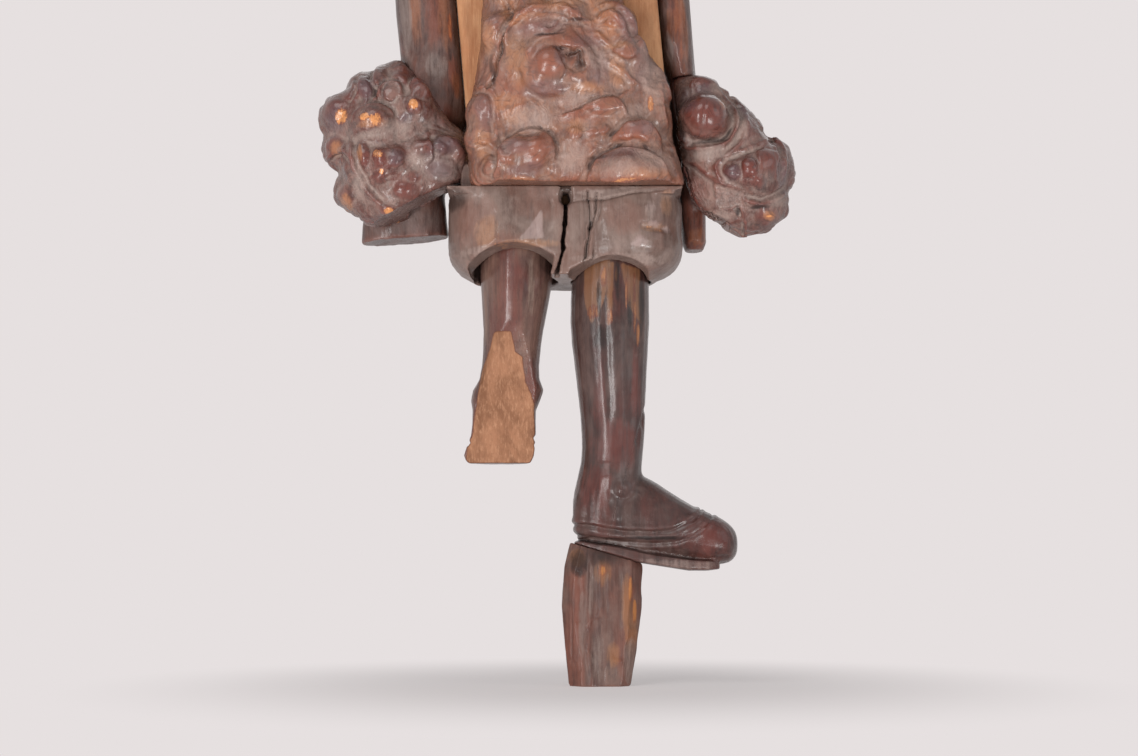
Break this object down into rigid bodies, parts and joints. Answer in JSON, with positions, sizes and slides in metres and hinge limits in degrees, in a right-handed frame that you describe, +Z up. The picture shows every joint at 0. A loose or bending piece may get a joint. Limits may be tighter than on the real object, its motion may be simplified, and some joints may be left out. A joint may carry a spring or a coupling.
{
  "type": "wooden puppet",
  "caption": "Jointed wooden puppet with a burl coat and sleeves, standing on one leg with a peg under the heel, with turning legs and head and swinging arms.",
  "frame": {"origin": "middle of the support peg's bottom face", "axes": "+Z up, front towards -Y, the puppet's left towards +X"},
  "size_m": [0.1902, 0.0696, 0.4436],
  "materials": {
    "peg_wood": "raw, knife-cut, stained by handling",
    "leg_wood": "dark stain, polished by wear",
    "breeches_wood": "dull, dusty, knife-cut facets",
    "pale_board": "bare sawn wood",
    "burl": "natural burl, waxed on the high spots, dust in the hollows",
    "coat_wood": "carved and stained",
    "sleeve_wood": "streaked, worn stain",
    "head_wood": "carved, stained, lightly polished",
    "dowel_wood": "bare turned wood"
  },
  "bodies": {
    "stand_leg": {"support_peg": "peg_wood", "heel_dowel": "dowel_wood", "left_leg": "leg_wood", "left_forefoot": "leg_wood", "left_hip_dowel": "dowel_wood"},
    "trunk": {"breeches": "breeches_wood", "hip_pins": "dowel_wood", "waist_dowels": "dowel_wood", "torso_core": "pale_board", "coat_front": "burl", "coat_back": "coat_wood", "shoulder_rod": "dowel_wood", "shoulder_caps": "peg_wood", "neck_pin": "dowel_wood"},
    "free_leg": {"right_leg": "leg_wood", "right_hip_dowel": "dowel_wood"},
    "right_sleeve": {"right_arm": "sleeve_wood", "right_cuff": "burl"},
    "left_sleeve": {"left_arm": "sleeve_wood", "left_cuff": "burl"},
    "head": {"head": "head_wood", "neck_dowel": "dowel_wood"}
  },
  "joints": [
    {"name": "left_hip", "type": "hinge", "parent": "stand_leg", "child": "trunk", "pos_m": [0.004, 0, 0.19], "axis": [0, 0, 1], "continuous": true},
    {"name": "right_hip", "type": "hinge", "parent": "trunk", "child": "free_leg", "pos_m": [-0.034, 0, 0.19], "axis": [0, 0, 1], "continuous": true},
    {"name": "right_shoulder", "type": "hinge", "parent": "trunk", "child": "right_sleeve", "pos_m": [-0.077, 0, 0.34275], "axis": [-0.9962, 0, -0.0872], "range_deg": [-40, 120]},
    {"name": "left_shoulder", "type": "hinge", "parent": "trunk", "child": "left_sleeve", "pos_m": [0.02631, 0, 0.35179], "axis": [-0.9962, 0, -0.0872], "range_deg": [-40, 120]},
    {"name": "neck", "type": "hinge", "parent": "trunk", "child": "head", "pos_m": [-0.02669, 0, 0.37124], "axis": [-0.0872, 0, 0.9962], "range_deg": [-90, 90]}
  ]
}
